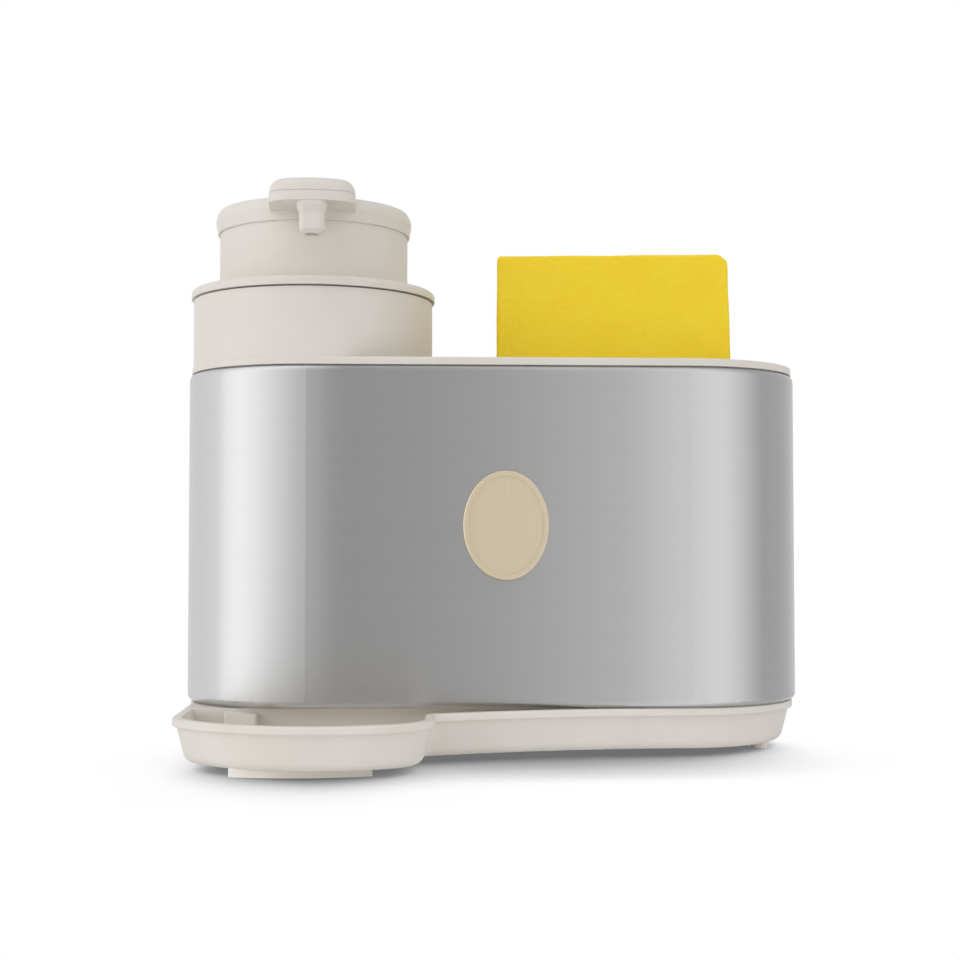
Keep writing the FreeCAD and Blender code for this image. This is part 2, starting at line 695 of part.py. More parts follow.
def sponge():
    """Foam block with softened edges, leaning back on its stand."""
    block = box((0, sponge_width()), (0, SPONGE_THICK), (0, SPONGE_HEIGHT))
    return turned_in_place(leaned(block.makeFillet(SPONGE_ROUND, block.Edges)))


def sponge_stand():
    """Two end panels on the floor with a slotted shelf, a low front lip and a back rest between them."""
    width = sponge_width()
    span = (-SPONGE_FIT - STAND_PANEL, width + SPONGE_FIT + STAND_PANEL)
    under = -SPONGE_FIT - STAND_PANEL
    behind = SPONGE_THICK + SPONGE_FIT
    back = behind + STAND_PANEL
    shelf = box(span, (under, back), (under, -SPONGE_FIT))
    lip = box(span, (under, -SPONGE_FIT), (under, STAND_LIP))
    rest = box(span, (behind, back), (under, STAND_REST))
    cradle = joined(shelf, lip, rest)
    pitch = width / SLOT_COUNT
    slot_low = (SPONGE_THICK - SLOT_LENGTH) / 2
    for index in range(SLOT_COUNT):
        middle = pitch * (index + 0.5)
        sides = (middle - SLOT_WIDTH / 2, middle + SLOT_WIDTH / 2)
        cradle = cradle.cut(box(sides, (slot_low, slot_low + SLOT_LENGTH), (under, -SPONGE_FIT)))
    stand = leaned(cradle)
    toe = Vector(0, leaned_point(under, under).y, -STAND_RISE)
    heel = Vector(0, STAND_HEEL + leaned_point(back, under).y, -STAND_RISE)
    rest_top = leaned_point(back, STAND_REST)
    lip_top = leaned_point(under, STAND_LIP)
    side = Part.Face(Part.makePolygon([toe, heel, rest_top, lip_top, toe]))
    window_low = WINDOW_MARGIN - STAND_RISE
    for x in (span[0], span[1] - STAND_PANEL):
        panel = side.extrude(Vector(STAND_PANEL, 0, 0))
        panel.translate(Vector(x, 0, 0))
        window = box((x, x + STAND_PANEL), (toe.y + WINDOW_MARGIN, heel.y - WINDOW_MARGIN),
                     (window_low, window_low + WINDOW_HEIGHT))
        corners = [edge for edge in window.Edges if edge.BoundBox.XLength > STAND_PANEL / 2]
        stand = joined(stand, panel.cut(window.makeFillet(WINDOW_ROUND, corners)))
    bar = box(span, (heel.y - STAND_BAR, heel.y), (-STAND_RISE, STAND_PANEL - STAND_RISE))
    return turned_in_place(joined(stand, bar))


def soap_bottle():
    """Open bottle that hangs in the well by the step in its wall."""
    lower = WELL_RADIUS - BOTTLE_FIT
    outside = turned([(0, BOTTLE_LOW), (lower, BOTTLE_LOW), (lower, RIM_TOP), (BOTTLE_RADIUS, RIM_TOP),
                      (BOTTLE_RADIUS, MOUTH), (0, MOUTH)])
    outside = outside.makeFillet(BOTTLE_ROUND, level_edges(outside, BOTTLE_LOW))
    floor = BOTTLE_LOW + BOTTLE_FLOOR
    step = RIM_TOP + BOTTLE_FLOOR
    hollow = turned([(0, floor), (lower - BOTTLE_WALL, floor), (lower - BOTTLE_WALL, step),
                     (MOUTH_RADIUS, step), (MOUTH_RADIUS, MOUTH), (0, MOUTH)])
    return at_bottle(outside.cut(hollow))


def lid_gasket():
    """Flat ring between the bottle's mouth and the lid."""
    return at_bottle(ring(BOTTLE_RADIUS - GASKET_INSET, PLUG_RADIUS + GASKET_FIT, MOUTH, LID_LOW))


def pump_lid():
    """Flange over the bottle's mouth, with a plug skirt and a wide hole for the drum."""
    radius = BOTTLE_RADIUS + LID_OVERHANG
    flange = rod(radius, LID_LOW, LID_TOP)
    flange = flange.makeFillet(LID_ROUND, level_edges(flange, LID_TOP))
    plug = ring(PLUG_RADIUS, PLUG_RADIUS - PLUG_WALL, LID_LOW - LID_PLUG, LID_LOW)
    lid = joined(flange, plug)
    return at_bottle(lid.cut(rod(COLUMN_RADIUS + COLUMN_FIT, LID_LOW, LID_TOP)))


def guide_cup():
    """Cup under the lid in which the drum slides, with a key that stops it turning."""
    outer = CUP_RADIUS + CUP_WALL
    cup = rod(outer, CUP_LOW, LID_LOW).cut(rod(CUP_RADIUS, CUP_INSIDE, LID_LOW))
    cup = cup.cut(rod(BARREL_RADIUS + BARREL_FIT, CUP_LOW, CUP_INSIDE))
    key = box((-KEY_WIDTH / 2, KEY_WIDTH / 2), (COLUMN_RADIUS + KEY_FIT, outer - CUP_WALL / 2),
              (CUP_INSIDE, LID_LOW))
    return at_bottle(joined(cup, key))


def head_column():
    """Drum that slides through the lid, with a bead that stops it at the top of its stroke."""
    inner = COLUMN_RADIUS - COLUMN_WALL
    drum = turned([(inner, COLUMN_LOW), (BEAD_RADIUS, COLUMN_LOW), (BEAD_RADIUS, BEAD_TOP),
                   (COLUMN_RADIUS, BEAD_TOP), (COLUMN_RADIUS, COLUMN_TOP), (inner, COLUMN_TOP)])
    half = KEY_WIDTH / 2 + KEY_FIT
    notch = box((-half, half), (COLUMN_RADIUS, BEAD_RADIUS + BEAD_OUT), (COLUMN_LOW, BEAD_TOP))
    return at_bottle(drum.cut(notch))


def beak_wire(inset):
    """Beak outline, set in by a margin: round behind the axis, straight sides, curved front."""
    half = BEAK_WIDTH / 2 - inset
    corner = BEAK_CORNER - inset
    right = Vector(1, 0, 0)
    front = Vector(0, -1, 0)
    centre = Vector(0, BEAK_FRONT_RADIUS - BEAK_REACH, 0)
    corner_x = BEAK_WIDTH / 2 - BEAK_CORNER
    right_corner = in_front(centre, BEAK_FRONT_RADIUS - BEAK_CORNER, corner_x)
    left_corner = Vector(-right_corner.x, right_corner.y, 0)
    to_left = unit(left_corner - centre)
    to_right = unit(right_corner - centre)
    axis = Vector(0, 0, 0)
    edges = [
        arc(axis, half, right, -front),
        arc(axis, half, -front, -right),
        line(axis - right * half, left_corner - right * corner),
        arc(left_corner, corner, -right, to_left),
        arc(centre, BEAK_FRONT_RADIUS - inset, to_left, to_right),
        arc(right_corner, corner, to_right, right),
        line(right_corner + right * corner, axis + right * half),
    ]
    return Part.Wire(edges)


def head_dome(foot_radius, radius, low, shoulder, top):
    """Solid round cap: side that widens up to its shoulder, rounded edge and a shallow dome."""
    apex = Vector(0, 0, top)
    foot = Vector(0, 0, low)
    corner = Vector(foot_radius, 0, low)
    side = Vector(radius, 0, shoulder)
    edge = Vector(radius - HEAD_LIP, 0, shoulder + HEAD_ROUND)
    profile = [
        line(apex, foot),
        line(foot, corner),
        line(corner, side),
        tangent_arc(side, UP, edge),
        tangent_arc(apex, Vector(1, 0, 0), edge),
    ]
    return Part.Face(Part.Wire(profile)).revolve(Vector(), UP, 360)


def press_head():
    """Domed head over the drum, with the beak's lower half, its soap channel and the stem's hub."""
    shoulder = HEAD_LOW + HEAD_BAND
    top = shoulder + HEAD_ROUND + HEAD_DOME
    socket_radius = COLUMN_RADIUS + HEAD_FIT
    dome = head_dome(socket_radius + HEAD_EDGE, HEAD_RADIUS, HEAD_LOW, shoulder, top)
    inner = COLUMN_RADIUS - COLUMN_WALL
    hollow = head_dome(inner, inner, HEAD_LOW, shoulder - HEAD_WALL, top - HEAD_WALL)
    socket = rod(socket_radius, HEAD_LOW, COLUMN_TOP)
    pocket_low = BEAK_SEAM - POCKET_FLOOR
    cradle = prism(beak_wire(-POCKET_WALL), pocket_low, top).common(dome)
    beak = prism(beak_wire(0), BEAK_LOW, BEAK_SEAM)
    beak = beak.cut(rod(HEAD_RADIUS - HEAD_LIP, BEAK_LOW, BEAK_SEAM))
    nozzle_y = NOZZLE_SETBACK - BEAK_REACH
    rib_half = CHANNEL_WIDTH / 2 + CHANNEL_RIB
    rib = box((-rib_half, rib_half), (HEAD_LIP - HEAD_RADIUS, 0), (BEAK_LOW, BEAK_SEAM))
    hub = rod(HUB_RADIUS, HEAD_LOW - HUB_DROP, BEAK_SEAM)
    disc = rod(SPRING_RADIUS + SPRING_WIRE, SPRING_SEAT, BEAK_SEAM)
    head = joined(dome.cut(hollow).cut(socket), cradle, beak, rib, hub, disc)
    head = head.cut(prism(beak_wire(COVER_SEAM - COVER_FIT), BEAK_SEAM, top))
    half = CHANNEL_WIDTH / 2
    head = head.cut(box((-half, half), (nozzle_y, 0), (BEAK_SEAM - CHANNEL_DEPTH, BEAK_SEAM)))
    head = head.cut(rod(OUTLET_BALL + OUTLET_ROOM, STEM_TOP, BEAK_SEAM))
    head = head.cut(rod(STEM_RADIUS + STEM_FIT, HEAD_LOW - HUB_DROP, STEM_TOP))
    spigot = NOZZLE_BORE + SPIGOT_WALL + SPIGOT_FIT
    return at_bottle(head.cut(rod(spigot, BEAK_LOW, BEAK_SEAM, 0, nozzle_y)))


def spout_cover():
    """Upper half of the beak: closes the soap channel, rounded on top, over a groove that marks the seam."""
    cover = prism(beak_wire(COVER_SEAM), BEAK_SEAM + SEAM_LINE, BEAK_TOP)
    cover = cover.makeFillet(COVER_ROUND, level_edges(cover, BEAK_TOP))
    tongue = prism(beak_wire(SEAM_DEPTH), BEAK_SEAM, BEAK_SEAM + SEAM_LINE)
    return at_bottle(joined(cover, tongue))


def square_wire(half, corner, y, height):
    """Square outline with rounded corners, centred on the pump's middle plane."""
    right = Vector(1, 0, 0)
    back = Vector(0, 1, 0)
    inner = half - corner
    ways = [(right, back), (back, -right), (-right, -back), (-back, right)]
    places = [Vector(0, y, height) + (leave + arrive) * inner for leave, arrive in ways]
    edges = []
    for index, (leave, arrive) in enumerate(ways):
        place = places[index]
        edges.append(arc(place, corner, leave, arrive))
        edges.append(line(place + arrive * corner, places[(index + 1) % 4] + arrive * corner))
    return Part.Wire(edges)


def spout_nozzle():
    """Square nozzle under the beak: a collar flared towards the beak, a chamfered tip and a round spigot."""
    y = NOZZLE_SETBACK - BEAK_REACH
    half = NOZZLE_WIDTH / 2
    wide = half + NOZZLE_FLARE
    low = BEAK_LOW - NOZZLE_LENGTH
    profile = [
        (half - NOZZLE_TIP, low),
        (half, low + NOZZLE_TIP),
        (half, BEAK_LOW - NOZZLE_COLLAR),
        (wide, BEAK_LOW - NOZZLE_COLLAR / 3),
        (wide, BEAK_LOW),
    ]
    sections = [square_wire(reach, reach - half + NOZZLE_CORNER, y, height) for reach, height in profile]
    nozzle = Part.makeLoft(sections, True, True)
    spigot = rod(NOZZLE_BORE + SPIGOT_WALL, BEAK_LOW, BEAK_SEAM - CHANNEL_DEPTH, 0, y)
    nozzle = joined(nozzle, spigot)
    return at_bottle(nozzle.cut(rod(NOZZLE_BORE, low, BEAK_SEAM, 0, y)))


def plunger_stem():
    """Hollow stem from the piston up into the head's hub."""
    return at_bottle(ring(STEM_RADIUS, STEM_BORE, PISTON_LOW, STEM_TOP))


def seal_span():
    """Heights of the groove in the middle of the piston."""
    middle = (PISTON_LOW + PISTON_TOP) / 2
    return middle - SEAL_HEIGHT / 2, middle + SEAL_HEIGHT / 2


def piston():
    """Piston on the end of the stem, with a groove for its seal."""
    radius = BARREL_BORE - PISTON_FIT
    low, high = seal_span()
    body = ring(radius, STEM_RADIUS + STEM_FIT, PISTON_LOW, PISTON_TOP)
    return at_bottle(body.cut(ring(radius, radius - SEAL_DEPTH, low, high)))


def piston_seal():
    """Ring that fills the piston's groove and runs in the barrel."""
    low, high = seal_span()
    inner = BARREL_BORE - PISTON_FIT - SEAL_DEPTH + STEM_FIT
    return at_bottle(ring(BARREL_BORE - RUNNING_FIT, inner, low, high))


def pump_cylinder():
    """Barrel with a flange on the cup's floor, an inlet valve seat and a socket for the dip tube."""
    tail = INLET_BALL + INLET_ROOM + TAIL_WALL
    barrel = rod(BARREL_RADIUS, CHAMBER_LOW - BARREL_WALL, FLANGE_TOP)
    flange = rod(BARREL_FLANGE, CUP_INSIDE, FLANGE_TOP)
    body = joined(barrel, flange, rod(tail, TAIL_LOW, CHAMBER_LOW))
    body = body.cut(rod(BARREL_BORE, CHAMBER_LOW, FLANGE_TOP))
    body = body.cut(rod(INLET_BALL + INLET_ROOM, INLET_SEAT, CHAMBER_LOW))
    body = body.cut(rod(INLET_BORE, TUBE_TOP, INLET_SEAT))
    return at_bottle(body.cut(rod(TUBE_RADIUS + STEM_FIT, TAIL_LOW, TUBE_TOP)))


def cylinder_washer():
    """Soft washer between the cup's floor and the nut."""
    return at_bottle(ring(NUT_FLAT, BARREL_RADIUS + BARREL_FIT, CUP_LOW - WASHER_THICK, CUP_LOW))


def cylinder_nut():
    """Hexagon nut that clamps the barrel in the cup's floor."""
    top = CUP_LOW - WASHER_THICK
    reach = NUT_FLAT / math.cos(math.pi / 6)
    angles = [side * math.pi / 3 for side in range(6)]
    corners = [Vector(reach * math.cos(angle), reach * math.sin(angle), 0) for angle in angles]
    nut = prism(Part.makePolygon(corners + corners[:1]), top - NUT_HEIGHT, top)
    return at_bottle(nut.cut(rod(BARREL_RADIUS + BUSH_FIT, top - NUT_HEIGHT, top)))


def stem_bush():
    """Bush in the barrel's mouth that guides the stem."""
    plug = rod(BARREL_BORE - BUSH_FIT, FLANGE_TOP - BUSH_PLUG, FLANGE_TOP)
    head = rod(BARREL_BORE + BUSH_BRIM, FLANGE_TOP, FLANGE_TOP + BUSH_HEAD)
    bush = joined(plug, head)
    return at_bottle(bush.cut(rod(STEM_RADIUS + RUNNING_FIT, FLANGE_TOP - BUSH_PLUG, FLANGE_TOP + BUSH_HEAD)))


def inlet_cage():
    """Ring with a cross bar over the inlet ball."""
    outer = INLET_BALL + INLET_ROOM - BUSH_FIT
    low = CHAMBER_LOW - CAGE_HEIGHT
    cage = ring(outer, outer - CAGE_RING, low, CHAMBER_LOW)
    bar = box((-outer, outer), (-CAGE_BAR / 2, CAGE_BAR / 2), (low, CHAMBER_LOW))
    return at_bottle(joined(cage, bar.common(rod(outer, low, CHAMBER_LOW))))


def inlet_ball():
    """Ball that closes the inlet."""
    return at_bottle(Part.makeSphere(INLET_BALL, Vector(0, 0, INLET_SEAT + INLET_SIT)))


def outlet_ball():
    """Ball that closes the top of the stem."""
    return at_bottle(Part.makeSphere(OUTLET_BALL, Vector(0, 0, STEM_TOP + OUTLET_SIT)))


def dip_tube():
    """Tube from the barrel's tail nearly to the bottle's floor."""
    low = BOTTLE_LOW + BOTTLE_FLOOR + TUBE_END_GAP
    return at_bottle(ring(TUBE_RADIUS, TUBE_RADIUS - TUBE_WALL, low, TUBE_TOP))


def helix_point(turn, low, pitch):
    """Point and direction of the spring's centre line after a number of turns."""
    angle = turn * 2 * math.pi
    point = Vector(SPRING_RADIUS * math.cos(angle), SPRING_RADIUS * math.sin(angle), low + turn * pitch)
    run = 2 * math.pi * SPRING_RADIUS
    return point, unit(Vector(-math.sin(angle) * run, math.cos(angle) * run, pitch))


def least_gap(edges, spread, thick):
    """Least gap of a wire to itself, between points of edges that lie at least so many edges apart."""
    points = [edge.discretize(7) for edge in edges]
    least = math.inf
    for first in range(len(edges)):
        for second in range(first + spread, len(edges)):
            for point in points[first]:
                near = min(point.distanceToPoint(other) for other in points[second])
                least = min(least, near - thick)
    return least


def return_spring():
    """Wire coil between the barrel's flange and the head, two tangent arcs for each quarter turn."""
    low = FLANGE_TOP + SPRING_WIRE / 2 + BALL_FIT
    high = SPRING_SEAT - SPRING_WIRE / 2 - BALL_FIT
    pitch = (high - low) / SPRING_TURNS
    edges = []
    for quarter in range(SPRING_TURNS * 4):
        first, leave = helix_point(quarter / 4, low, pitch)
        last, arrive = helix_point((quarter + 1) / 4, low, pitch)
        chord = last - first
        both = leave + arrive
        spread = 2 * (1 - leave.dot(arrive))
        reach = (-chord.dot(both) + math.sqrt(chord.dot(both) ** 2 + spread * chord.dot(chord))) / spread
        meet = (first + leave * reach + last - arrive * reach) * 0.5
        edges.append(tangent_arc(first, leave, meet))
        edges.append(tangent_arc(meet, unit(meet - first - leave * reach), last))
    gap = least_gap(edges, len(edges) // SPRING_TURNS // 2, SPRING_WIRE)
    print("spring: least gap to itself %.2f mm" % gap)
    start, direction = helix_point(0, low, pitch)
    section = Part.Wire(Part.makeCircle(SPRING_WIRE / 2, start, direction))
    return at_bottle(Part.Wire(edges).makePipeShell([section], True, False))


PIECES = (
    drip_tray, front_foot, side_feet, steel_sleeve, caddy_shell, base_cover, base_screws, badge_pad,
    badge_plate, sponge_stand, sponge, soap_bottle, lid_gasket, pump_lid, guide_cup, pump_cylinder,
    cylinder_washer, cylinder_nut, stem_bush, inlet_cage, inlet_ball, dip_tube, return_spring, head_column,
    press_head, spout_cover, spout_nozzle, plunger_stem, piston, piston_seal, outlet_ball,
)

os.makedirs("parts", exist_ok=True)
for piece in PIECES:
    shape = piece()
    shape.translate(FRAME_SHIFT)
    shape.exportStep("parts/" + piece.__name__ + ".step")
    print(piece.__name__, len(shape.Solids), shape.isValid(), round(shape.Volume / 1000, 2), "cm3")
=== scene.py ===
"""Looks of the soap pump caddy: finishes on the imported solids, a foam sponge and a coil spring in place of
two of them, a white studio and a camera. Lengths are in metres."""
import math

import bmesh
import bpy
import numpy as np
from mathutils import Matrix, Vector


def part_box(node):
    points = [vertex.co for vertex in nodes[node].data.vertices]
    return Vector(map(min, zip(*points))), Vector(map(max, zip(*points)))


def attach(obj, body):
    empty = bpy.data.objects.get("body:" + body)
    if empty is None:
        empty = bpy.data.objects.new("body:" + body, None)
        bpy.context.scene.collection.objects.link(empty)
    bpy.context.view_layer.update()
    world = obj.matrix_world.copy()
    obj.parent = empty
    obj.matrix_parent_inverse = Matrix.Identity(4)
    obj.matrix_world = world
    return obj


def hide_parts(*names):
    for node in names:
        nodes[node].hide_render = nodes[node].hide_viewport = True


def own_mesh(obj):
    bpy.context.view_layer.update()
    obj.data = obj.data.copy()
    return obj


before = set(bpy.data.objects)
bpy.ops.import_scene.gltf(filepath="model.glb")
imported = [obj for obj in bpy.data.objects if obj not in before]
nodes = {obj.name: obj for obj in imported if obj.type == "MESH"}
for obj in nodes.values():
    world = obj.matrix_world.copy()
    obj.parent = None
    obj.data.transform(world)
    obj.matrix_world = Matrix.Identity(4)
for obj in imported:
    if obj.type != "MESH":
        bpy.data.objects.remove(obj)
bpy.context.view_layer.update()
scene = bpy.context.scene
scene.view_settings.view_transform = "Standard"

MM = 0.001

# Points nearer than this are joined, and a length that divides is at least this
WELD = 0.01 * MM
TINY = 1e-9

# The sponge: lower left front corner, length, thickness and height, lean back and turn to the right
SPONGE_CORNER = (-0.0002, 0.0055, 0.1159)
SPONGE_SIZE = (0.08416, 0.030, 0.065)
SPONGE_LEAN = math.radians(15.0)
SPONGE_TURN = math.radians(5.3)

# Its skin: radius of the edges and of the softer upper right corner, and the pitch of the grid
SPONGE_EDGE = 1.6 * MM
SPONGE_SOFT_CORNER = 4.8 * MM
SPONGE_PITCH = 0.6 * MM

# Slow waves in the skin: their depth, then for each its radians per metre along x, y and z, and its start
WAVE_DEPTH = 0.05 * MM
WAVES = (((210, 0, 90), 0), ((0, -170, 260), 1))

# Pores in the skin: depth, spacing and seed, then the least radius and its spread as shares of the spacing
PORE_DEPTH = 0.12 * MM
PORE_SPACING = 2.2 * MM
PORE_SEED = 7
PORE_LEAST = 0.25
PORE_SPREAD = 0.35

# The sine that scatters the pores: its steps along x, y and z and from seed to seed, and its size
CELL_STEPS = (127.1, 311.7, 74.7)
SEED_STEP = 53.3
SINE_SIZE = 43758.5453

# The return spring: wire, whole turns, and where the coil starts about its axis
SPRING_WIRE = 1.3 * MM
SPRING_TURNS = 7
SPRING_START = math.radians(2.3)

# Rings of points in each turn of the spring, and points in each ring
SPRING_RINGS = 48
SPRING_SIDES = 14

# The steel sleeve's flat front and back reach this far from the middle, and ease into the round ends over a
# bell curve of this width and lean, the lean as a slope
FLAT_REACH = 0.0655
EASE_WIDTH = 0.012
EASE_LEAN = 0.14

# Brightness of the studio that polished surfaces see, by direction in degrees from the front to the right
ROOM = ((-180, 0.70), (-122, 0.94), (-95, 1.04), (-84, 1.36), (-66, 1.43), (-48, 1.22), (-36, 0.95),
        (-24, 0.72), (-16, 0.49), (-9, 0.44), (0, 0.42), (3, 0.46), (6, 0.62), (10, 0.80), (23, 0.88),
        (46, 1.09), (63, 0.85), (84, 0.53), (114, 0.56), (150, 0.70), (180, 0.70))

# Brightness of the even fill, and the point that the large lamps face
FILL = 0.45
BODY_MIDDLE = (0, 0, 0.1)

# The floor: its width, the ways to the far corners of the room, and how near the object shades it. The shade
# is at its deepest brightness up to the first open share of a way, and gone from the second
FLOOR_WIDTH = 40
FAR_CORNERS = ((-0.75, 0.6, 0.3), (0.75, 0.6, 0.3))
SHADE_REACH = 0.06
SHADE_DEEPEST = 0.15
SHADE_SHARES = (0.45, 0.95)

# The camera: place, tilt up and turn to the right in radians, focal length and sensor width in millimetres
CAMERA_PLACE = (-0.0319, -0.5598, 0.0716)
CAMERA_TILT = 0.0418
CAMERA_TURN = 0.0465
FOCAL_LENGTH = 60.0
SENSOR_WIDTH = 36.0


def linear(colour):
    """sRGB hex colour as linear red, green, blue and alpha."""
    channels = [int(colour[i:i + 2], 16) / 255 for i in (1, 3, 5)]
    return [c / 12.92 if c <= 0.04045 else ((c + 0.055) / 1.055) ** 2.4 for c in channels] + [1.0]


def tones(low, high, start=0.3, end=0.7):
    """Stops of a colour ramp from one sRGB hex colour to another."""
    return (start, linear(low)), (end, linear(high))


def add(tree, kind, links=None, stops=(), **settings):
    """Adds a node with its settings. links maps an input's name or number to a value, to another node's
    output, or to a node, which gives its first output. stops are places and linear colours on a ramp."""
    node = tree.nodes.new(kind)
    for name, value in settings.items():
        setattr(node, name, value)
    for name, value in (links or {}).items():
        if isinstance(value, bpy.types.Node):
            value = value.outputs[0]
        if isinstance(value, bpy.types.NodeSocket):
            tree.links.new(value, node.inputs[name])
        else:
            node.inputs[name].default_value = value
    if stops:
        elements = node.color_ramp.elements
        elements[0].position = stops[0][0]
        elements[1].position = stops[-1][0]
        for place, _ in stops[1:-1]:
            elements.new(place)
        for element, (_, colour) in zip(elements, stops):
            element.color = colour
    return node


def emptied_tree(owner):
    """Node tree of a material or world, with nothing in it."""
    owner.use_nodes = True
    owner.node_tree.nodes.clear()
    return owner.node_tree


def new_finish(name):
    """New material: the material, its empty tree and Object coordinates."""
    material = bpy.data.materials.new(name)
    tree = emptied_tree(material)
    return material, tree, add(tree, "ShaderNodeTexCoord").outputs["Object"]


def dress(material, *names):
    """Gives a finish to CAD nodes."""
    for name in names:
        nodes[name].data.materials.clear()
        nodes[name].data.materials.append(material)


def moulded_abs():
    """Cream ABS from a fine spark-eroded mould: satin sheen, faint grain, slow unevenness of tone."""
    material, tree, place = new_finish("moulded_cream_abs")
    patch = 22.2 * MM
    cloud = add(tree, "ShaderNodeTexNoise", {"Vector": place, "Scale": 1 / patch, "Detail": 3.0})
    colour = add(tree, "ShaderNodeValToRGB", {"Fac": cloud}, tones("#dfdad2", "#e4dfd8"))
    # Spark-eroded grain, several times coarser than the real one so that it can show
    grain_width = 0.4 * MM
    grain = add(tree, "ShaderNodeTexNoise", {"Vector": place, "Scale": 1 / grain_width, "Detail": 2.0})
    bump = add(tree, "ShaderNodeBump", {"Height": grain, "Strength": 0.05, "Distance": 0.2 * MM})
    shader = add(tree, "ShaderNodeBsdfPrincipled",
                 {"Base Color": colour, "Roughness": 0.45, "IOR": 1.5, "Normal": bump})
    add(tree, "ShaderNodeOutputMaterial", {"Surface": shader})
    return material


def eased_normal(tree, place):
    """Normal of sheet that was bent with a soft start. It leans to the nearer end by a bell curve, which
    falls off as e to the minus square of the distance from the join of flat and round over its width."""
    x = add(tree, "ShaderNodeSeparateXYZ", {0: place})
    reach = add(tree, "ShaderNodeMath", {0: x}, operation="ABSOLUTE")
    past = add(tree, "ShaderNodeMath", {0: reach, 1: FLAT_REACH}, operation="SUBTRACT")
    away = add(tree, "ShaderNodeMath", {0: past, 1: EASE_WIDTH}, operation="DIVIDE")
    square = add(tree, "ShaderNodeMath", {0: away, 1: away}, operation="MULTIPLY")
    fall = add(tree, "ShaderNodeMath", {0: square, 1: -1.0}, operation="MULTIPLY")
    bell = add(tree, "ShaderNodeMath", {0: fall}, operation="EXPONENT")
    lean = add(tree, "ShaderNodeMath", {0: bell, 1: EASE_LEAN}, operation="MULTIPLY")
    end = add(tree, "ShaderNodeMath", {0: x}, operation="SIGN")
    to_end = add(tree, "ShaderNodeMath", {0: lean, 1: end}, operation="MULTIPLY")
    offset = add(tree, "ShaderNodeCombineXYZ", {0: to_end})
    normal = add(tree, "ShaderNodeNewGeometry").outputs["Normal"]
    both = add(tree, "ShaderNodeVectorMath", {0: normal, 1: offset}, operation="ADD")
    return add(tree, "ShaderNodeVectorMath", {0: both}, operation="NORMALIZE")


def brushed_steel():
    """Stainless sheet brushed along its length: level hairlines spread reflections upwards, not sideways."""
    material, tree, place = new_finish("brushed_stainless_sheet")
    # Hairlines drawn coarser than real ones so that they can show
    spacing = 0.4 * MM
    length = 62.5 * MM
    along = add(tree, "ShaderNodeMapping",
                {"Vector": place, "Scale": (1 / length, 1 / length, 1 / spacing)})
    lines = add(tree, "ShaderNodeTexNoise", {"Vector": along, "Scale": 1.0, "Detail": 4.0})
    colour = add(tree, "ShaderNodeValToRGB", {"Fac": lines}, tones("#cccccc", "#d0d0d0", 0.25, 0.75))
    rough = add(tree, "ShaderNodeMapRange", {"Value": lines, "To Min": 0.27, "To Max": 0.30})
    # The way of the spread is a little off the upright, so that it never lies along a level edge's normal
    upwards = add(tree, "ShaderNodeCombineXYZ", {0: 0.02, 1: 0.03, 2: 1.0})
    shader = add(tree, "ShaderNodeBsdfPrincipled",
                 {"Base Color": colour, "Metallic": 1.0, "Roughness": rough, "Anisotropic": 0.9,
                  "Tangent": upwards, "Normal": eased_normal(tree, place)})
    add(tree, "ShaderNodeOutputMaterial", {"Surface": shader})
    return material


def satin_gold():
    """Pale gold plated zinc, blasted satin: a soft even glow with fine upright polishing lines."""
    material, tree, place = new_finish("satin_gold_plate")
    spacing = 0.2 * MM
    length = 16.7 * MM
    along = add(tree, "ShaderNodeMapping",
                {"Vector": place, "Scale": (1 / spacing, 1 / length, 1 / length)})
    lines = add(tree, "ShaderNodeTexNoise", {"Vector": along, "Scale": 1.0, "Detail": 3.0})
    colour = add(tree, "ShaderNodeValToRGB", {"Fac": lines}, tones("#ebdcbf", "#efe1c6"))
    rough = add(tree, "ShaderNodeMapRange", {"Value": lines, "To Min": 0.44, "To Max": 0.52})
    shader = add(tree, "ShaderNodeBsdfPrincipled",
                 {"Base Color": colour, "Metallic": 1.0, "Roughness": rough})
    add(tree, "ShaderNodeOutputMaterial", {"Surface": shader})
    return material


def soft_rubber(name, low, high, roughness):
    """Moulded thermoplastic rubber: dull, with a fine matt grain and slow changes of tone."""
    material, tree, place = new_finish(name)
    patch = 11.1 * MM
    cloud = add(tree, "ShaderNodeTexNoise", {"Vector": place, "Scale": 1 / patch, "Detail": 3.0})
    colour = add(tree, "ShaderNodeValToRGB", {"Fac": cloud}, tones(low, high))
    # Grain of the mould, coarser than the real one so that it can show
    grain_width = 0.333 * MM
    grain = add(tree, "ShaderNodeTexNoise", {"Vector": place, "Scale": 1 / grain_width, "Detail": 1.0})
    bump = add(tree, "ShaderNodeBump", {"Height": grain, "Strength": 0.15, "Distance": 0.2 * MM})
    shader = add(tree, "ShaderNodeBsdfPrincipled",
                 {"Base Color": colour, "Roughness": roughness, "IOR": 1.48, "Normal": bump})
    add(tree, "ShaderNodeOutputMaterial", {"Surface": shader})
    return material


def moulded_polypropylene():
    """Natural polypropylene of the inner pieces: milky, slightly waxy, with faint flow marks."""
    material, tree, place = new_finish("natural_polypropylene")
    mark = 16.7 * MM
    flow = add(tree, "ShaderNodeTexNoise",
               {"Vector": place, "Scale": 1 / mark, "Detail": 2.0, "Distortion": 1.5})
    colour = add(tree, "ShaderNodeValToRGB", {"Fac": flow}, tones("#dcdad3", "#e6e4de"))
    shader = add(tree, "ShaderNodeBsdfPrincipled",
                 {"Base Color": colour, "Roughness": 0.38, "IOR": 1.49,
                  "Subsurface Weight": 0.15, "Subsurface Scale": 2 * MM})
    add(tree, "ShaderNodeOutputMaterial", {"Surface": shader})
    return material


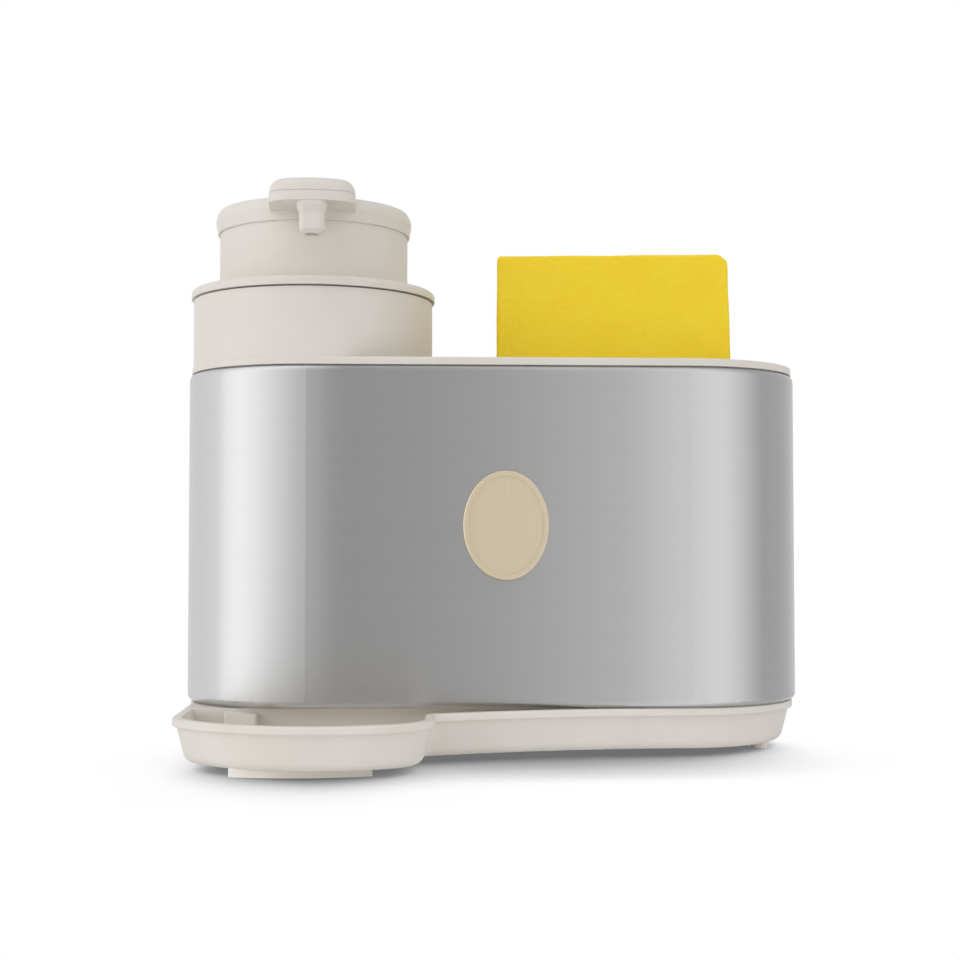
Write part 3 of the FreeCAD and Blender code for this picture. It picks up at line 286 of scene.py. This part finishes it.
def drawn_steel():
    """Drawn and polished stainless steel of the spring, balls and screws: bright with faint die marks."""
    material, tree, place = new_finish("drawn_stainless")
    mark = 1.11 * MM
    marks = add(tree, "ShaderNodeTexNoise", {"Vector": place, "Scale": 1 / mark, "Detail": 2.0})
    colour = add(tree, "ShaderNodeValToRGB", {"Fac": marks}, tones("#c9c8c6", "#d8d7d4"))
    rough = add(tree, "ShaderNodeMapRange", {"Value": marks, "To Min": 0.16, "To Max": 0.26})
    shader = add(tree, "ShaderNodeBsdfPrincipled",
                 {"Base Color": colour, "Metallic": 1.0, "Roughness": rough})
    add(tree, "ShaderNodeOutputMaterial", {"Surface": shader})
    return material


def natural_tube():
    """Extruded natural polyethylene tube: cloudy, half clear, with lengthwise draw lines."""
    material, tree, place = new_finish("natural_polyethylene_tube")
    spacing = 0.556 * MM
    length = 33.3 * MM
    along = add(tree, "ShaderNodeMapping",
                {"Vector": place, "Scale": (1 / spacing, 1 / spacing, 1 / length)})
    lines = add(tree, "ShaderNodeTexNoise", {"Vector": along, "Scale": 1.0, "Detail": 2.0})
    colour = add(tree, "ShaderNodeValToRGB", {"Fac": lines}, tones("#e4e6e6", "#eff0f0"))
    rough = add(tree, "ShaderNodeMapRange", {"Value": lines, "To Min": 0.22, "To Max": 0.34})
    shader = add(tree, "ShaderNodeBsdfPrincipled",
                 {"Base Color": colour, "Roughness": rough, "IOR": 1.51, "Transmission Weight": 0.55})
    add(tree, "ShaderNodeOutputMaterial", {"Surface": shader})
    return material


def yellow_foam():
    """Cut polyurethane foam: dull, with open cells, and light that soaks in and softens its edges."""
    material, tree, place = new_finish("yellow_polyurethane_foam")
    cell = 1.11 * MM
    patch = 14.3 * MM
    cells = add(tree, "ShaderNodeTexVoronoi", {"Vector": place, "Scale": 1 / cell})
    cloud = add(tree, "ShaderNodeTexNoise", {"Vector": place, "Scale": 1 / patch, "Detail": 3.0})
    mixed = add(tree, "ShaderNodeMath", {0: cells, 1: 0.35, 2: cloud}, operation="MULTIPLY_ADD")
    colour = add(tree, "ShaderNodeValToRGB", {"Fac": mixed}, tones("#f9d637", "#fcdb40", 0.35, 0.85))
    bump = add(tree, "ShaderNodeBump", {"Height": cells, "Strength": 0.14, "Distance": 0.5 * MM})
    shader = add(tree, "ShaderNodeBsdfPrincipled",
                 {"Base Color": colour, "Roughness": 0.95, "IOR": 1.4, "Specular IOR Level": 0.2,
                  "Subsurface Weight": 0.3, "Subsurface Scale": 4 * MM, "Subsurface Radius": (1.0, 0.7, 0.15),
                  "Normal": bump})
    add(tree, "ShaderNodeOutputMaterial", {"Surface": shader})
    return material


def made_piece(name, places, faces, material, body, node):
    """New piece in place of a CAD node: doubled points are joined and the faces turned outwards."""
    mesh = bpy.data.meshes.new(name)
    mesh.from_pydata(places.tolist(), [], faces)
    skin = bmesh.new()
    skin.from_mesh(mesh)
    bmesh.ops.remove_doubles(skin, verts=skin.verts, dist=WELD)
    bmesh.ops.recalc_face_normals(skin, faces=skin.faces)
    skin.to_mesh(mesh)
    skin.free()
    mesh.shade_smooth()
    mesh.materials.append(material)
    piece = bpy.data.objects.new(name, mesh)
    scene.collection.objects.link(piece)
    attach(piece, body)
    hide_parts(node)
    return piece


def random_in_cells(cells, seed):
    """Steady pseudo-random number from 0 to 1 for each whole-numbered cell: the fraction of a large sine."""
    wave = np.sin(cells @ np.array(CELL_STEPS) + seed * SEED_STEP) * SINE_SIZE
    return wave - np.floor(wave)


def pores(points, spacing, seed):
    """Depth of round pits, from 0 to 1: each cell of a grid holds a pit at a random place, of random radius.
    A point lies as deep as the nearest pit's bowl, one less the square of the distance over the radius."""
    cells = np.floor(points / spacing)
    depth = np.zeros(len(points))
    for step in np.ndindex(3, 3, 3):
        cell = cells + np.array(step) - 1
        middle = np.stack([random_in_cells(cell, seed + axis) for axis in range(3)], axis=1)
        radius = PORE_LEAST + PORE_SPREAD * random_in_cells(cell, seed + 3)
        away = np.linalg.norm(points / spacing - cell - middle, axis=1)
        depth = np.maximum(depth, 1 - (away / radius) ** 2)
    return depth


def box_skin(size, pitch):
    """Skin of a box as six grids of square cells: points and four-cornered faces. Each edge has its points
    twice, once for each grid that ends there."""
    points, faces = [], []
    count = 0
    for axis in range(3):
        across, up = (axis + 1) % 3, (axis + 2) % 3
        columns = int(round(size[across] / pitch)) + 1
        rows = int(round(size[up] / pitch)) + 1
        for end in (0, 1):
            grid = np.empty((rows, columns, 3))
            grid[..., axis] = size[axis] * end
            grid[..., across] = np.linspace(0, size[across], columns)[None, :]
            grid[..., up] = np.linspace(0, size[up], rows)[:, None]
            index = np.arange(rows * columns).reshape(rows, columns) + count
            ring = [index[:-1, :-1], index[:-1, 1:], index[1:, 1:], index[1:, :-1]]
            if end == 0:
                ring.reverse()
            points.append(grid.reshape(-1, 3))
            faces.append(np.stack(ring, axis=-1).reshape(-1, 4))
            count += rows * columns
    return np.concatenate(points), np.concatenate(faces)


def foam_sponge(material):
    """Foam block: the skin of a box whose points are drawn in to a rounded box (the nearest point of a
    smaller box, plus the edge radius along the way out), with a softer upper right corner, a worn uneven
    skin and pores. The finished block is leaned back and turned about its lower left front corner."""
    size = np.array(SPONGE_SIZE)
    points, faces = box_skin(SPONGE_SIZE, SPONGE_PITCH)
    core = np.clip(points, SPONGE_EDGE, size - SPONGE_EDGE)
    way = points - core
    outward = way / np.maximum(np.linalg.norm(way, axis=1), TINY)[:, None]
    places = core + outward * SPONGE_EDGE

    # In the soft corner's square a point moves in until its distance from the square's inner corner is what
    # its farther coordinate was, which turns the square's outline into an arc
    over = np.maximum(places[:, [0, 2]] - (size[[0, 2]] - SPONGE_SOFT_CORNER), 0)
    shrink = over.max(axis=1) / np.maximum(np.linalg.norm(over, axis=1), TINY)
    both = (over > 0).all(axis=1)
    places[:, [0, 2]] -= np.where(both, 1 - shrink, 0)[:, None] * over

    swell = sum(1 + np.sin(places @ np.array(steps) + start) for steps, start in WAVES)
    pits = np.clip(pores(places, PORE_SPACING, PORE_SEED), 0, 1)
    places -= outward * (WAVE_DEPTH * swell + PORE_DEPTH * pits)[:, None]

    lean = np.array([[1, 0, 0], [0, math.cos(SPONGE_LEAN), math.sin(SPONGE_LEAN)],
                     [0, -math.sin(SPONGE_LEAN), math.cos(SPONGE_LEAN)]])
    turn = np.array([[math.cos(SPONGE_TURN), math.sin(SPONGE_TURN), 0],
                     [-math.sin(SPONGE_TURN), math.cos(SPONGE_TURN), 0], [0, 0, 1]])
    places = places @ (turn @ lean).T + np.array(SPONGE_CORNER)

    piece = made_piece("foam_sponge", places, faces.tolist(), material, "sponge", "sponge")


def coiled_spring(material):
    """Return spring: a ring of the wire's radius carried along a helix, each ring square to the helix, with
    flat ends. It shortens as the head goes down."""
    low, high = [np.array(corner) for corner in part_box("return_spring")]
    middle = (low + high) / 2
    wire = SPRING_WIRE / 2
    radius = (high[0] - low[0]) / 2 - wire
    rise = high[2] - low[2] - SPRING_WIRE
    sweep = SPRING_TURNS * 2 * math.pi
    share = np.linspace(0, 1, SPRING_TURNS * SPRING_RINGS + 1)
    angle = SPRING_START + share * sweep
    level = np.zeros_like(angle)
    outward = np.stack([np.cos(angle), np.sin(angle), level], axis=1)
    path = np.array([middle[0], middle[1], low[2] + wire]) + radius * outward
    path[:, 2] += share * rise
    slope = rise / (radius * sweep)
    along = np.stack([-np.sin(angle), np.cos(angle), level + slope], axis=1)
    across = np.cross(along, outward) / np.linalg.norm(along, axis=1)[:, None]
    about = np.arange(SPRING_SIDES) * 2 * math.pi / SPRING_SIDES
    ring = outward[:, None] * np.cos(about)[:, None] + across[:, None] * np.sin(about)[:, None]
    rings = path[:, None] + wire * ring
    index = np.arange(len(path) * SPRING_SIDES).reshape(len(path), SPRING_SIDES)
    beside = np.roll(index, -1, axis=1)
    quads = np.stack([index[:-1], beside[:-1], beside[1:], index[1:]], axis=-1).reshape(-1, 4)
    faces = quads.tolist() + [index[0].tolist(), index[-1].tolist()]
    piece = made_piece("coiled_spring", rings.reshape(-1, 3), faces, material, "pump_lid", "return_spring")
    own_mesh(piece)


def seen_rays(tree):
    """1 for rays that look at the background, from the camera, from gloss or through glass, and 1 for those
    from gloss alone."""
    rays = add(tree, "ShaderNodeLightPath").outputs
    glossy = rays["Is Glossy Ray"]
    through = add(tree, "ShaderNodeMath", {0: rays["Is Camera Ray"], 1: rays["Is Transmission Ray"]},
                  operation="MAXIMUM")
    return add(tree, "ShaderNodeMath", {0: through, 1: glossy}, operation="MAXIMUM"), glossy


def studio_room():
    """White room: an even fill for the light, white to the eye, and in polished surfaces brighter walls at
    the sides and the dim room behind the camera."""
    world = bpy.data.worlds.new("white_studio")
    scene.world = world
    tree = emptied_tree(world)
    world.cycles.sampling_method = "NONE"
    way = add(tree, "ShaderNodeSeparateXYZ", {0: add(tree, "ShaderNodeTexCoord").outputs["Generated"]})
    forward = add(tree, "ShaderNodeMath", {0: way.outputs[1], 1: -1.0}, operation="MULTIPLY")
    angle = add(tree, "ShaderNodeMath", {0: way, 1: forward}, operation="ARCTAN2")
    share = add(tree, "ShaderNodeMapRange", {"Value": angle, "From Min": -math.pi, "From Max": math.pi})
    brightest = max(level for _, level in ROOM)
    stops = [((degrees + 180) / 360, [level / brightest] * 3 + [1.0]) for degrees, level in ROOM]
    walls = add(tree, "ShaderNodeValToRGB", {"Fac": share}, stops)
    seen, glossy = seen_rays(tree)
    fill = add(tree, "ShaderNodeBackground", {"Color": (1, 1, 1, 1), "Strength": FILL})
    white = add(tree, "ShaderNodeBackground", {"Color": (1, 1, 1, 1), "Strength": 1.0})
    room = add(tree, "ShaderNodeBackground", {"Color": walls, "Strength": brightest})
    backdrop = add(tree, "ShaderNodeMixShader", {0: glossy, 1: white, 2: room})
    mixed = add(tree, "ShaderNodeMixShader", {0: seen, 1: fill, 2: backdrop})
    add(tree, "ShaderNodeOutputWorld", {"Surface": mixed})


def studio_floor():
    """White floor: pale matt card to the light, white to the eye, darkened where the object hides both of the
    far corners of the room from it."""
    bpy.ops.mesh.primitive_plane_add(size=FLOOR_WIDTH)
    floor = bpy.context.object
    floor.name = "floor"
    material = bpy.data.materials.new("white_floor_card")
    tree = emptied_tree(material)
    card = add(tree, "ShaderNodeBsdfDiffuse", {"Color": linear("#f8f8f8")})
    open_shares = []
    for corner in FAR_CORNERS:
        way = add(tree, "ShaderNodeCombineXYZ", dict(enumerate(corner)))
        outlook = add(tree, "ShaderNodeAmbientOcclusion", {"Distance": SHADE_REACH, "Normal": way},
                      samples=16)
        open_shares.append(outlook.outputs["AO"])
    lit = add(tree, "ShaderNodeMath", dict(enumerate(open_shares)), operation="MAXIMUM")
    shade = add(tree, "ShaderNodeMapRange",
                {"Value": lit, "From Min": SHADE_SHARES[0], "From Max": SHADE_SHARES[1],
                 "To Min": SHADE_DEEPEST})
    glow = add(tree, "ShaderNodeEmission", {"Color": (1, 1, 1, 1), "Strength": shade})
    seen, _ = seen_rays(tree)
    mixed = add(tree, "ShaderNodeMixShader", {0: seen, 1: card, 2: glow})
    add(tree, "ShaderNodeOutputMaterial", {"Surface": mixed})
    floor.data.materials.append(material)
    floor.visible_glossy = False


def soft_box(name, place, aim, width, height, watts, beam=180):
    """Large soft lamp that faces a point, with a beam of so many degrees."""
    lamp = bpy.data.lights.new(name, "AREA")
    lamp.shape = "RECTANGLE"
    lamp.size = width
    lamp.size_y = height
    lamp.energy = watts
    lamp.spread = math.radians(beam)
    panel = bpy.data.objects.new(name, lamp)
    panel.location = place
    way = np.array(aim) - np.array(place)
    flat = math.hypot(way[0], way[1])
    panel.rotation_euler = (math.atan2(flat, -way[2]), 0.0, math.atan2(way[1], way[0]) - math.pi / 2)
    panel.visible_glossy = False
    scene.collection.objects.link(panel)


def photograph():
    """Camera low in front, a little left of the middle."""
    lens = bpy.data.cameras.new("camera")
    lens.lens = FOCAL_LENGTH
    lens.sensor_width = SENSOR_WIDTH
    camera = bpy.data.objects.new("camera", lens)
    camera.location = CAMERA_PLACE
    camera.rotation_euler = (math.pi / 2 + CAMERA_TILT, 0.0, -CAMERA_TURN)
    scene.collection.objects.link(camera)
    scene.camera = camera


photograph()
dress(moulded_abs(), "drip_tray", "caddy_shell", "base_cover", "soap_bottle", "pump_lid", "head_column",
      "press_head", "spout_cover", "spout_nozzle")
dress(brushed_steel(), "steel_sleeve")
dress(satin_gold(), "badge_plate")
dress(soft_rubber("black_rubber", "#262422", "#302e2b", 0.6), "cylinder_washer", "piston_seal")
dress(soft_rubber("grey_rubber", "#857d72", "#8f877c", 0.6), "lid_gasket")
# The feet are coloured paler than the cream tray they match: painted light that makes up for the shade under
# the dish's overhang.
dress(soft_rubber("cream_rubber", "#f0ece4", "#f6f2eb", 0.6), "front_foot", "side_feet")
dress(soft_rubber("white_foam_tape", "#dcdbd6", "#e4e3df", 0.8), "badge_pad")
dress(moulded_polypropylene(), "sponge_stand", "guide_cup", "pump_cylinder", "cylinder_nut", "stem_bush",
      "inlet_cage", "plunger_stem", "piston")
polished_wire = drawn_steel()
dress(polished_wire, "base_screws", "return_spring", "inlet_ball", "outlet_ball")
dress(natural_tube(), "dip_tube")
foam = yellow_foam()
dress(foam, "sponge")
foam_sponge(foam)
coiled_spring(polished_wire)

studio_room()
studio_floor()
soft_box("left_box", (-1.1, -0.7, 0.7), BODY_MIDDLE, width=0.9, height=1.2, watts=7.6)
soft_box("right_box", (1.2, -0.5, 0.7), BODY_MIDDLE, width=0.8, height=1.2, watts=4.8)
soft_box("top_box", (0.0, -0.2, 1.4), BODY_MIDDLE, width=1.4, height=1.4, watts=2.8)
soft_box("front_card", (0.1, -1.1, 0.04), (0, 0, 0.01), width=1.2, height=0.06, watts=0.065, beam=20)
